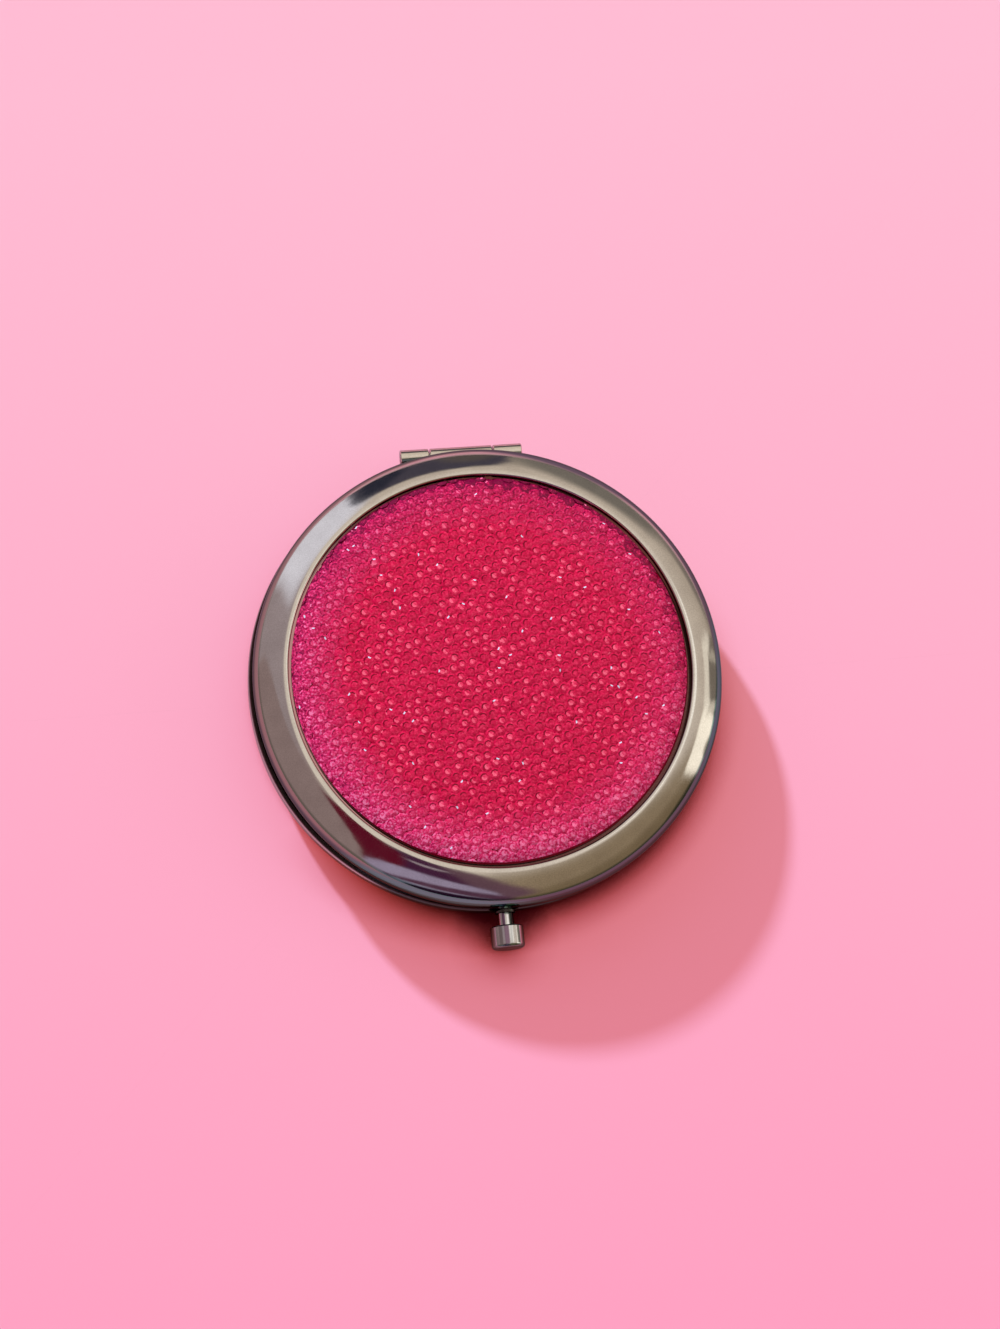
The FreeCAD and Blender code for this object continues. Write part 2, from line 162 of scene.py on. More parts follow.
def bendTo(bm, here, heading, point, steps):  # arc that leaves along heading
    start = Vector((here.co.x / mm, here.co.z / mm))
    chord = Vector(point) - start
    aim = Vector(heading).normalized()
    side = Vector((-aim.y, aim.x))
    across, along = chord.dot(side), chord.dot(aim)
    centre = start + side * chord.length_squared / (2 * across)
    made = bmesh.ops.spin(bm, geom=[here], cent=(centre.x * mm, 0, centre.y * mm),
                          axis=(0, -1, 0), angle=2 * math.atan2(across, along), steps=steps)
    there = [g for g in made["geom_last"] if isinstance(g, bmesh.types.BMVert)][0]
    there.co = (point[0] * mm, 0, point[1] * mm)
    return there


def drawLine(bm, first, moves):  # a move is (point), or (point, heading, steps) for an arc
    here = startLine(bm, first)
    for move in moves:
        if isinstance(move[0], tuple):
            here = bendTo(bm, here, move[1], move[0], move[2])
        else:
            here = runTo(bm, here, move)


def spinRound(bm, segments):
    bmesh.ops.remove_doubles(bm, verts=bm.verts, dist=weldGap)
    bmesh.ops.spin(bm, geom=bm.verts[:] + bm.edges[:], cent=(0, 0, 0), axis=(0, 0, 1),
                   angle=2 * math.pi, steps=segments, use_merge=True)
    bmesh.ops.remove_doubles(bm, verts=bm.verts, dist=weldGap)
    bmesh.ops.recalc_face_normals(bm, faces=bm.faces)


def softEdges(bm, angle):  # smooth, but for edges sharper than the angle
    for face in bm.faces:
        face.smooth = True
    for edge in bm.edges:
        edge.smooth = edge.is_manifold and edge.calc_face_angle(0) < math.radians(angle)


def breakEdges(bm, width, angle=40, segments=2):  # small bevel along every hard edge
    hard = [e for e in bm.edges if e.is_manifold and e.calc_face_angle(0) > math.radians(angle)]
    bmesh.ops.bevel(bm, geom=hard, offset=width * mm, offset_type="OFFSET", affect="EDGES",
                    segments=segments, profile=0.5, material=-1, clamp_overlap=True)
    bmesh.ops.recalc_face_normals(bm, faces=bm.faces)


def axisX(side):  # the lid sits a little off the base along the hinge
    return case["lidShift"] if side > 0 else 0


def toParting(bm, side):  # heights above the parting plane, mirrored down for the base
    bmesh.ops.scale(bm, verts=bm.verts, vec=(1, 1, side))
    bmesh.ops.translate(bm, verts=bm.verts, vec=(axisX(side) * mm, 0, case["parting"] * mm))
    bmesh.ops.recalc_face_normals(bm, faces=bm.faces)


def toButtonAxis(bm):  # lengths along Z turned to run out along -Y at the stem's height
    bmesh.ops.rotate(bm, verts=bm.verts, cent=(0, 0, 0),
                     matrix=Matrix.Rotation(math.pi / 2, 3, "X"))
    bmesh.ops.translate(bm, verts=bm.verts, vec=(0, 0, button["axisHeight"] * mm))


def bmeshObject(name, bm):
    mesh = bpy.data.meshes.new(name)
    bm.to_mesh(mesh)
    bm.free()
    made = bpy.data.objects.new(name, mesh)
    scene.collection.objects.link(made)
    return made


def carve(piece, cutter):  # cutter is a bmesh
    bmesh.ops.recalc_face_normals(cutter, faces=cutter.faces)
    tool = bmeshObject("cutter", cutter)
    cut = piece.modifiers.new("cut", "BOOLEAN")
    cut.object = tool
    cut.operation = "DIFFERENCE"
    cut.solver = "EXACT"
    bpy.context.view_layer.update()
    graph = bpy.context.evaluated_depsgraph_get()
    piece.data = bpy.data.meshes.new_from_object(piece.evaluated_get(graph), depsgraph=graph)
    piece.modifiers.remove(cut)
    bpy.data.objects.remove(tool)


def finishPiece(piece, body, finish, nodes, angle=32):
    bm = bmesh.new()
    bm.from_mesh(piece.data)
    bmesh.ops.remove_doubles(bm, verts=bm.verts, dist=weldGap)
    softEdges(bm, angle)
    bm.to_mesh(piece.data)
    bm.free()
    piece.data.name = piece.name
    piece.data.materials.clear()
    piece.data.materials.append(finish)
    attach(piece, body)
    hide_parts(*nodes)
    return piece


def rod(radius, length, segments, place):
    bm = bmesh.new()
    bmesh.ops.create_cone(bm, cap_ends=True, segments=segments, radius1=radius * mm,
                          radius2=radius * mm, depth=length * mm, matrix=place)
    return bm


def brick(low, high):
    size = [(b - a) * mm for a, b in zip(low, high)]
    middle = [(a + b) / 2 * mm for a, b in zip(low, high)]
    bm = bmesh.new()
    bmesh.ops.create_cube(bm, size=1,
                          matrix=Matrix.Translation(middle) @ Matrix.Diagonal((*size, 1)))
    return bm


alongX = Matrix.Rotation(math.pi / 2, 4, "Y")
alongY = Matrix.Rotation(math.pi / 2, 4, "X")


# finishes
def fromAxis(tree, at):  # distance from an upright axis through a point
    moved = addNode(tree, "ShaderNodeMapping", {"Vector": objectCoords(tree), "Scale": (1, 1, 0),
                                                "Location": (-at[0] * mm, -at[1] * mm, 0)})
    return vectors(tree, "LENGTH", moved.outputs[0])


def offLevel(tree, at):  # distance to either side of a level across one axis
    place = splitAxes(tree, objectCoords(tree))[at[0]]
    return maths(tree, "ABSOLUTE", maths(tree, "SUBTRACT", place, at[1] * mm))


def fromRing(tree, at):  # distance from a level ring round an upright axis: x, y, radius, height
    out = maths(tree, "SUBTRACT", fromAxis(tree, at[:2]), at[2] * mm)
    spot = addNode(tree, "ShaderNodeCombineXYZ", {0: out, 1: offLevel(tree, ("Z", at[3]))})
    return vectors(tree, "LENGTH", spot.outputs[0])


# noise is given as scale, detail and, at times, stretch
plating = {"cloud": (260, 6), "lines": (1500, 3, (1, 0.04, 1)), "lineSpan": (0.45, 0.6),
           "lineTone": 0.3, "grain": (5200, 2), "grainShare": 0.2, "grainTone": (0.2, 0.18, 0.15),
           "wipe": (420, 5, (1, 1, 0.4)), "waves": (900, 3), "strength": 0.05, "depth": 0.00004}

# colour, duller colour, range of roughness, tint at a grazing view
plainGraze = (0.5, 0.5, 0.5)
metals = {"case": ((0.66, 0.61, 0.545), (0.58, 0.53, 0.475), (0.06, 0.12), (0.4, 0.45, 0.42)),
          "hinge": ((0.7, 0.64, 0.55), (0.62, 0.56, 0.48), (0.12, 0.2), plainGraze),
          "button": ((0.66, 0.63, 0.6), (0.54, 0.51, 0.49), (0.06, 0.12), (0.34, 0.4, 0.36)),
          # painted shade: the bush is near black, so that it reads as the shade round the stem's
          # root
          "bush": ((0.06, 0.055, 0.05), (0.04, 0.038, 0.034), (0.25, 0.35), (0.1, 0.1, 0.1)),
          "pin": ((0.56, 0.55, 0.54), (0.48, 0.47, 0.46), (0.22, 0.34), plainGraze),
          "spring": ((0.5, 0.5, 0.5), (0.42, 0.42, 0.43), (0.2, 0.3), plainGraze)}

# painted shade and painted reflections on the plating: tinted bands round the edges, black in the
# seam, dark in the recess, dark bands along the hinge and the button's sides, a lighter band on the
# base's left, and a stripe on the button
tones = {"edge": (0.13, 0.16, 0.17), "left": (0.3, 0.31, 0.25), "front": (0.14, 0.36, 0.32),
         "right": (0.11, 0.26, 0.26), "far": (0.14, 0.17, 0.19), "seam": (0.012, 0.006, 0.006),
         "recess": (0.5, 0.26, 0.26), "recessRight": (0.1, 0.03, 0.03),
         "baseLeft": (0.62, 0.7, 0.64), "baseEdge": (0.34, 0.44, 0.36),
         "baseFront": (0.1, 0.2, 0.19), "baseRight": (0.12, 0.16, 0.14),
         "barrel": (0.12, 0.09, 0.07), "knobSide": (0.2, 0.25, 0.22), "stripe": (0.2, 0.12, 0.18),
         "stemSide": (0.035, 0.045, 0.04)}


def nickelFinish(name, metal, shades=(), streak=0):
    p = plating
    colour, dull, rough, graze = metals[metal]
    finish, tree, shader = newFinish(name, {"Metallic": 1.0, "Specular Tint": (*graze, 1)})
    tint = blended(tree, ranged(tree, objectNoise(tree, *p["cloud"]), 0, 1), colour, dull)
    if streak:  # drawn lines along the button's axis
        lines = ranged(tree, objectNoise(tree, *p["lines"]), 0, streak, *p["lineSpan"])
        tint = blended(tree, lines, tint, [c * p["lineTone"] for c in colour])
    # painted shade and painted reflections, laid over the plating's colour
    for measure, at, start, end, tone in shades:
        share = ranged(tree, measure(tree, at), 0, 1, start * mm, end * mm)
        tint = blended(tree, share, tint, tones[tone])
    grain = ranged(tree, objectNoise(tree, *p["grain"]), 0, p["grainShare"])
    tree.links.new(blended(tree, grain, tint, p["grainTone"]), shader.inputs["Base Color"])
    tree.links.new(ranged(tree, objectNoise(tree, *p["wipe"]), *rough), shader.inputs["Roughness"])
    bumpOn(tree, shader, objectNoise(tree, *p["waves"]), p["strength"], p["depth"])
    return finish


# a crescent of the edge for painted shade and painted reflections, measured from an axis set back
# on the far side of it
def sideShade(bearing, start, end, tone, back=12):
    turn = math.radians(bearing)
    axis = (case["lidShift"] - back * math.cos(turn), -back * math.sin(turn))
    return fromAxis, axis, back + start, back + end, tone


# a shade, painted shade and painted reflections alike, is a measure, its place, the distances in mm
# where it starts and is full, and a tone
lidAt, baseAt = (case["lidShift"], 0), (0, 0)
lidSeam, baseSeam = [(*at, case["radius"] - case["seamSet"], case["parting"])
                     for at in (lidAt, baseAt)]
# painted reflections in tinted bands round the lid's edge, and painted shade: black at the seam,
# dark in the recess, darkest on its right
lidShades = [
    (fromAxis, lidAt, 33.95, 34.2, "left"), sideShade(5, 33.65, 33.9, "edge", 0.5),
    sideShade(-10, 33.6, 34.2, "right"), sideShade(63, 33.1, 33.7, "far"),
    sideShade(-108, 33.8, 34.4, "front"), (fromRing, lidSeam, 0.95, 0.6, "seam"),
    (fromAxis, lidAt, 30.0, 29.88, "recess"), sideShade(-40, 30.05, 29.95, "recessRight", -0.5)]
# painted reflections in tinted bands round the base's edge, lighter on the left, and painted shade
# in black at the seam
baseShades = [
    (fromAxis, baseAt, 33.5, 34.1, "baseEdge"), sideShade(-100, 32.8, 33.6, "baseFront"),
    sideShade(-40, 32.8, 33.6, "baseRight"), sideShade(178, 34.2, 34.5, "baseLeft", 2),
    (fromRing, baseSeam, 0.85, 0.55, "seam")]
# painted reflection: the hinge darker in a band round the parting level, along the barrel's sides
hingeShades = [(offLevel, ("Z", case["parting"]), 0.7, 0.4, "barrel")]
# painted reflections on the knob: a dark stripe along it, darker sides and a darker front end
knobShades = [
    (offLevel, ("X", -0.33), 0.42, 0.26, "stripe"),
    (offLevel, ("Z", button["axisHeight"]), 1.75, 1.4, "knobSide"),
    (offLevel, ("Y", -button["knobSpan"][1]), 0.5, 0.38, "knobSide")]
# painted reflections on the stem: a dark stripe and a near-black right side
stemShades = [
    (offLevel, ("X", -0.45), 0.28, 0.16, "stripe"),
    (offLevel, ("X", button["stem"]), 0.85, 0.7, "stemSide")]
buttonStreak = 0.6
lidNickel = nickelFinish("lidNickel", "case", lidShades)
baseNickel = nickelFinish("baseNickel", "case", baseShades)
hingeNickel = nickelFinish("hingeNickel", "hinge", hingeShades)
knobNickel = nickelFinish("knobNickel", "button", knobShades, buttonStreak)
stemNickel = nickelFinish("stemNickel", "button", stemShades, buttonStreak)
bushNickel = nickelFinish("bushNickel", "bush")
pinSteel = nickelFinish("pinSteel", "pin")
springSteel = nickelFinish("springSteel", "spring")

# finishes in two tints, with a range of roughness and a fine relief
mirrorLook = {"sockets": {"Metallic": 1.0}, "cloud": (90, 3),
              "tints": ((0.9, 0.92, 0.91), (0.87, 0.895, 0.885)), "smear": (55, 5, (1, 2.4, 1)),
              "rough": (0.012, 0.03), "relief": (40, 1), "strength": 0.01, "depth": 0.00002}
trayLook = {"sockets": {"IOR": 1.5}, "cloud": (240, 3),
            "tints": ((0.62, 0.61, 0.6), (0.56, 0.55, 0.545)), "smear": (1500, 4),
            "rough": (0.3, 0.42), "relief": (5200, 2), "strength": 0.12, "depth": 0.00003}
resinLook = {"sockets": {"IOR": 1.52, "Specular IOR Level": 0.12}, "cloud": (500, 3),
             "tints": ((0.44, 0.002, 0.045), (0.36, 0.001, 0.034)), "smear": (1800, 3),
             "rough": (0.16, 0.3), "relief": (2600, 2), "strength": 0.1, "depth": 0.00003,
             "edgeSpan": (29.0, 29.2), "edgeTone": (0.2, 0.0, 0.014)}
foamLook = {"sockets": {"IOR": 1.45}, "cloud": (1140, 4),
            "tints": ((0.3, 0.3, 0.31), (0.22, 0.22, 0.23)), "smear": (3800, 3),
            "rough": (0.75, 0.95), "relief": (3800, 4), "strength": 0.5, "depth": 0.00012}
tapeLook = {"sockets": {"IOR": 1.45}, "cloud": (720, 4),
            "tints": ((0.78, 0.76, 0.7), (0.7, 0.68, 0.62)), "smear": (2400, 3),
            "rough": (0.4, 0.6), "relief": (2400, 4), "strength": 0.5, "depth": 0.00002}


def plainFinish(name, look):
    finish, tree, shader = newFinish(name, look["sockets"])
    tint = blended(tree, ranged(tree, objectNoise(tree, *look["cloud"]), 0, 1), *look["tints"])
    # painted shade: the disc is darker round its edge, by the gap to the lip
    if "edgeTone" in look:  # darker round the disc's edge
        edge = ranged(tree, fromAxis(tree, lidAt), 0, 1, *[r * mm for r in look["edgeSpan"]])
        tint = blended(tree, edge, tint, look["edgeTone"])
    tree.links.new(tint, shader.inputs["Base Color"])
    tree.links.new(ranged(tree, objectNoise(tree, *look["smear"]), *look["rough"]),
                   shader.inputs["Roughness"])
    bumpOn(tree, shader, objectNoise(tree, *look["relief"]), look["strength"], look["depth"])
    return finish


mirrorGlass = plainFinish("mirrorGlass", mirrorLook)
trayPlastic = plainFinish("trayPlastic", trayLook)
crystalResin = plainFinish("crystalResin", resinLook)
padFoam = plainFinish("padFoam", foamLook)
filmTape = plainFinish("filmTape", tapeLook)
print("finishes made")


# the two stamped shells
shellSteps = {"edge": 10, "shoulder": 14, "lip": 8, "rim": 8,
              "inEdge": 6, "inShoulder": 8, "inRim": 6}


def plainShell(name, side):
    c, n = case, shellSteps
    up, down, inward = (0, 1), (0, -1), (-1, 0)
    turn = math.radians(c["edgeTurn"])
    along = (-math.sin(turn), math.cos(turn))
    inRadius = c["radius"] - c["sheet"]
    wall, inWall = (c["radius"], c["wallTop"]), (inRadius, c["wallTop"])
    edge = (c["radius"] - c["edgeRadius"] * (1 - math.cos(turn)),
            c["wallTop"] + c["edgeRadius"] * math.sin(turn))
    inEdge = (edge[0] - c["sheet"] * math.cos(turn), edge[1] - c["sheet"] * math.sin(turn))
    top = c["halfHeight"]
    crest = c["lip"] + c["lipRound"]
    floor = top - c["recess"]
    inFloor = floor - c["sheet"]
    fold = c["lip"] + c["sheet"]
    rim = (c["radius"] - c["turnIn"], c["rimGap"] / 2)
    inRim = (rim[0] - c["sheet"], rim[1])
    midway = c["lip"] / 2
    bm = bmesh.new()
    drawLine(bm, wall, [(edge, up, n["edge"]),
                        ((crest + c["lipLand"], top), along, n["shoulder"]), (crest, top),
                        ((c["lip"], top - c["lipRound"]), inward, n["lip"]),
                        (c["lip"], floor), (midway, floor), (0, floor)])
    drawLine(bm, wall, [(c["radius"], c["widest"]), (rim, down, n["rim"]), inRim])
    drawLine(bm, inWall, [(inEdge, up, n["inEdge"]),
                          ((fold, top - c["sheet"]), along, n["inShoulder"]),
                          (fold, inFloor), (midway, inFloor), (0, inFloor)])
    drawLine(bm, inWall, [(inRadius, c["widest"]), (inRim, down, n["inRim"])])
    spinRound(bm, c["segments"])
    toParting(bm, side)
    return bmeshObject(name, bm)


def hingeCuts(shell, side, spans):  # cove round the barrel and a notch for each strap
    h = hinge
    half = h["length"] / 2 + h["notch"]
    axis = Matrix.Translation((0, h["y"] * mm, case["parting"] * mm))
    carve(shell, rod(h["radius"] + h["clear"], 2 * half, h["segments"], axis @ alongX))
    top = case["parting"] + side * (h["strapTop"] + h["notch"])
    low, high = sorted((case["parting"], top))
    for start, end in spans:
        carve(shell, brick((start - h["notch"], h["notchStart"], low - h["overrun"] * (side > 0)),
                           (end + h["notch"], h["y"], high + h["overrun"] * (side < 0))))


outer = (hinge["length"] - hinge["centre"]) / 2 - hinge["gap"]
endX = hinge["length"] / 2
lidShell = plainShell("lidShell", 1)
hingeCuts(lidShell, 1, [(-hinge["centre"] / 2, hinge["centre"] / 2)])
finishPiece(lidShell, "lid", lidNickel, ["lid_shell"])
baseShell = plainShell("baseShell", -1)
hingeCuts(baseShell, -1, [(-endX, outer - endX), (endX - outer, endX)])
holeAt = Matrix.Translation((0, -button["holeMiddle"] * mm, button["axisHeight"] * mm)) @ alongY
carve(baseShell, rod(button["bush"] + button["holeGap"], button["holeLength"],
                     button["segments"], holeAt))
finishPiece(baseShell, "base", baseNickel, ["base_shell"])
print("shells made")


# push button: stem, knob and bush, all turned
def turnedPiece(name, first, moves, bevel=0):
    bm = bmesh.new()
    drawLine(bm, first, moves)
    spinRound(bm, button["segments"])
    if bevel:
        breakEdges(bm, bevel)
    toButtonAxis(bm)
    return bmeshObject(name, bm)


def makeButton():
    b = button
    k0, k1 = b["knobSpan"]
    r = b["knob"]
    knob = turnedPiece("pushKnob", (0, k1), [
        (r / 2, k1), (r - b["knobRound"], k1),
        ((r, k1 - b["knobRound"]), (1, 0), b["roundSteps"]), (r, k0 + b["knobBreak"]),
        (r - b["knobBreak"], k0), (b["socket"], k0), (b["socket"], b["socketEnd"]),
        (0, b["socketEnd"])])
    finishPiece(knob, "button", knobNickel, ["push_knob"])
    s, c0, c1 = b["stem"], *b["collarSpan"]
    stem = turnedPiece("pushStem", (0, b["stemEnd"]), [
        (s - b["stemBreak"], b["stemEnd"]), (s, b["stemEnd"] + b["stemBreak"]), (s, c0),
        (b["collar"], c0), (b["collar"], c1), (s, c1), (s, b["stemTip"] - b["stemBreak"]),
        (s - b["stemBreak"], b["stemTip"]), (0, b["stemTip"])])
    finishPiece(stem, "button", stemNickel, ["push_stem"])
    u0, u1 = b["bushSpan"]
    bush = turnedPiece("stemBush", (b["bushHole"], u0), [
        (b["bush"], u0), (b["bush"], u1), (b["bushHole"], u1), (b["bushHole"], u0)],
        b["bushBreak"])
    finishPiece(bush, "base", bushNickel, ["stem_bush"])


makeButton()
print("button made")


# mirrors and their trays; the slots for the catch have heights from the parting plane
inside = {"trayRadius": 33.35, "traySet": 0.5, "trayBack": 1.5, "round": 0.2, "roundSteps": 5,
          "well": 27.7, "wellOuter": 28.5, "wellFloor": 2.7, "wellBack": 3.5,
          "lidSlot": ((-1.9, -30.8, -0.5), (1.9, -30.0, 2.5)),
          "baseSlot": ((-2.5, -36.0, -2.5), (2.5, -29.3, 0.5)), "mirror": 27.5,
          "mirrorFace": 1.0, "mirrorBack": 2.5, "bevel": 0.3, "dish": 0.4, "dishSteps": 24,
          "softAngle": 12, "segments": 192}


def slottedTray(name, side, slot):
    t = inside
    bm = bmesh.new()
    drawLine(bm, (0, t["wellFloor"]), [
        (t["well"], t["wellFloor"]), (t["well"], t["traySet"] + t["round"]),
        ((t["well"] + t["round"], t["traySet"]), (0, -1), t["roundSteps"]),
        (t["trayRadius"] - t["round"], t["traySet"]),
        ((t["trayRadius"], t["traySet"] + t["round"]), (1, 0), t["roundSteps"]),
        (t["trayRadius"], t["trayBack"]), (t["wellOuter"], t["trayBack"]),
        (t["wellOuter"], t["wellBack"]), (0, t["wellBack"])])
    spinRound(bm, t["segments"])
    toParting(bm, side)
    tray = bmeshObject(name, bm)
    carve(tray, brick(*[(x, y, case["parting"] + z) for x, y, z in slot]))
    return tray


def turnedMirror(name, side, first, moves):
    bm = bmesh.new()
    drawLine(bm, first, moves)
    spinRound(bm, inside["segments"])
    toParting(bm, side)
    return bmeshObject(name, bm)


def makeTrays():
    lidTray = slottedTray("lidTray", 1, inside["lidSlot"])
    finishPiece(lidTray, "lid", trayPlastic, ["lid_tray"])
    baseTray = slottedTray("baseTray", -1, inside["baseSlot"])
    finishPiece(baseTray, "base", trayPlastic, ["base_tray"])


def makeMirrors():
    t = inside
    r, b = t["mirror"], t["bevel"]
    face, back = t["mirrorFace"], t["mirrorBack"]
    flat = turnedMirror("lidMirror", 1, (0, face), [
        (r - b, face), (r, face + b), (r, back), (0, back)])
    finishPiece(flat, "lid", mirrorGlass, ["lid_mirror"], t["softAngle"])
    dished = turnedMirror("baseMirror", -1, (0, face + t["dish"]), [
        ((r - b, face), (1, 0), t["dishSteps"]), (r, face), (r, back), (0, back)])
    finishPiece(dished, "base", mirrorGlass, ["base_magnifying_mirror"],
                t["softAngle"])


makeTrays()
makeMirrors()
print("trays and mirrors made")


# crystal panel: a crowned disc that carries close-set faceted stones
panel = {"radius": 29.3, "bottom": 5.1, "edge": 0.5, "dome": 480.0, "domeSteps": 8, "round": 8.0,
         "roundWidth": 3.1, "roundSteps": 10, "segments": 192}
domeTurn = math.asin((panel["radius"] - panel["roundWidth"]) / panel["dome"])
roundAt = (panel["dome"] - panel["round"]) * math.sin(domeTurn)
rimTurn = math.asin((panel["radius"] - roundAt) / panel["round"])
roundLevel = panel["bottom"] + panel["edge"] - panel["round"] * math.cos(rimTurn)
domeLevel = roundLevel - (panel["dome"] - panel["round"]) * math.cos(domeTurn)
meetAt = panel["dome"] * math.sin(domeTurn)


def crownAt(radius):  # height above the parting plane and outward slope of the crowned disc
    if radius < meetAt:
        rise = math.sqrt(panel["dome"] ** 2 - radius ** 2)
        return domeLevel + rise, math.asin(radius / panel["dome"])
    off = min(radius, panel["radius"]) - roundAt
    return roundLevel + math.sqrt(panel["round"] ** 2 - off ** 2), math.asin(off / panel["round"])


def makeCrystalBase():
    p = panel
    rimHeight = p["bottom"] + p["edge"]
    outward = (math.cos(domeTurn), -math.sin(domeTurn))
    bm = bmesh.new()
    drawLine(bm, (0, crownAt(0)[0]), [
        ((meetAt, crownAt(meetAt)[0]), (1, 0), p["domeSteps"]),
        ((p["radius"], rimHeight), outward, p["roundSteps"]),
        (p["radius"], p["bottom"]), (0, p["bottom"])])
    spinRound(bm, p["segments"])
    toParting(bm, 1)
    finishPiece(bmeshObject("crystalBase", bm), "lid", crystalResin,
                ["crystal_base"])


stones = {"pitch": 1.6, "turn": 16.5, "sides": 8, "girdle": 1.04, "bezel": 0.64, "table": 0.42,
          "girdleRise": 0.12, "bezelRise": 0.23, "rise": 0.28, "sink": 0.02, "sizeLow": 0.93,
          "sizeSpan": 0.13, "tilt": 4.0, "jitter": 0.18, "edgeGap": 0.05, "edgeShare": 0.55,
          "spread": 1.3, "shift": (-0.12, 0.2), "seed": 11, "draws": 24}

# tones of a stone's facets: a level, then how far each thing shifts it; the lighter tables, the
# dark crescent and the glints are painted light and shade
facets = {"girdle": 0.28, "girdleReach": 0.9, "table": 0.42, "tableLift": 0.14, "tableReach": 0.7,
          "brightShare": 0.44, "bright": 0.52, "brightLift": 0.22, "brightHalf": 0.3,
          "bezel": 0.49, "crescent": 0.5, "bezelSide": 0.1, "darkSide": Vector((-0.35, 0.94, 0.0)),
          "darkSwing": 1.1, "crown": 0.39, "crownLift": 0.17, "sparkShare": 0.042,
          "sparkFacets": 4, "glintShare": 0.126, "glint": 0.95}

# how the tones change towards the panel's edge, in mm from its middle, and with bearing: a painted
# sheen, painted light on one side and shade on the other, and the lip's painted shadow
edgeTones = {"start": 21.0, "width": 8.0, "mean": 0.74, "swing": 0.26, "bearing": 190,
             "level": 0.5, "pull": 0.5, "leeStart": 22.0, "leeWidth": 6.3, "lee": 0.25,
             "leeBearing": -84, "lipStart": 28.0, "lip": 0.1, "lipSwing": 0.22, "lipBearing": 60}


def facetOrder(face):  # from the foot up, so that tones fall on the same facets in every run
    middle = face.calc_center_median() / mm
    return [round(c, 3) for c in (middle.z, middle.x, middle.y)]


def cutStone():  # one stone with its foot at the origin and its table up
    s = stones
    bm = bmesh.new()
    bmesh.ops.create_circle(bm, cap_ends=True, segments=s["sides"], radius=s["girdle"] * mm)
    top = bm.faces[:]
    halfSide = math.pi / s["sides"]
    for rise, scale, turn in (
            (s["girdleRise"], 1.0, 0.0),
            (s["bezelRise"] - s["girdleRise"], s["bezel"] / s["girdle"], halfSide),
            (s["rise"] - s["bezelRise"], s["table"] / s["bezel"], 0.0)):
        made = bmesh.ops.extrude_face_region(bm, geom=top)["geom"]
        top = [g for g in made if isinstance(g, bmesh.types.BMFace)]
        ring = [g for g in made if isinstance(g, bmesh.types.BMVert)]
        bmesh.ops.scale(bm, verts=ring, vec=(scale, scale, 1))
        bmesh.ops.rotate(bm, verts=ring, cent=(0, 0, 0), matrix=Matrix.Rotation(turn, 3, "Z"))
        bmesh.ops.translate(bm, verts=ring, vec=(0, 0, rise * mm))
    low, high = s["girdleRise"] * mm, s["bezelRise"] * mm
    twisted = [f for f in bm.faces if len(f.verts) == 4 and low < f.calc_center_median().z < high]
    bmesh.ops.triangulate(bm, faces=twisted, quad_method="SHORT_EDGE")
    corners = list(top[0].verts)
    bmesh.ops.connect_vert_pair(bm, verts=[corners[0], corners[s["sides"] // 2]])
    inner = [f for f in bm.faces if all(len(e.link_faces) > 2 for e in f.edges)]
    bmesh.ops.delete(bm, geom=inner, context="FACES_ONLY")
    bmesh.ops.recalc_face_normals(bm, faces=bm.faces)
    for index, face in enumerate(sorted(bm.faces, key=facetOrder)):
        face.index = index
    bm.faces.sort()
    return bm


def stoneDraws(dice):  # the eighth draw has no use now, and keeps the others in their order
    d = [dice.random() for _ in range(stones["draws"])]
    return {"rock": d[:2], "spin": d[2], "facet": d[3], "glintPick": d[4], "bright": d[5],
            "lift": d[6], "swing": d[8], "crown": d[9:23], "size": d[23]}


def stonePlace(x, y, draw):
    s = stones
    x, y = x + s["shift"][0], y + s["shift"][1]
    height, slope = crownAt(math.hypot(x, y))
    bearing = math.atan2(y, x)
    level = case["parting"] + height - s["sink"]
    size = s["sizeLow"] + s["sizeSpan"] * draw["size"]
    rock = [math.radians(s["tilt"]) * (2 * d - 1) for d in draw["rock"]]
    turns = ((bearing, "Z"), (slope, "Y"), (-bearing, "Z"), (rock[0], "X"), (rock[1], "Y"),
             (draw["spin"] * 2 * math.pi / s["sides"], "Z"))
    place = Matrix.Translation(((x + case["lidShift"]) * mm, y * mm, level * mm))
    for angle, axis in turns:
        place = place @ Matrix.Rotation(angle, 4, axis)
    return place @ Matrix.Diagonal((size, size, 1, 1))


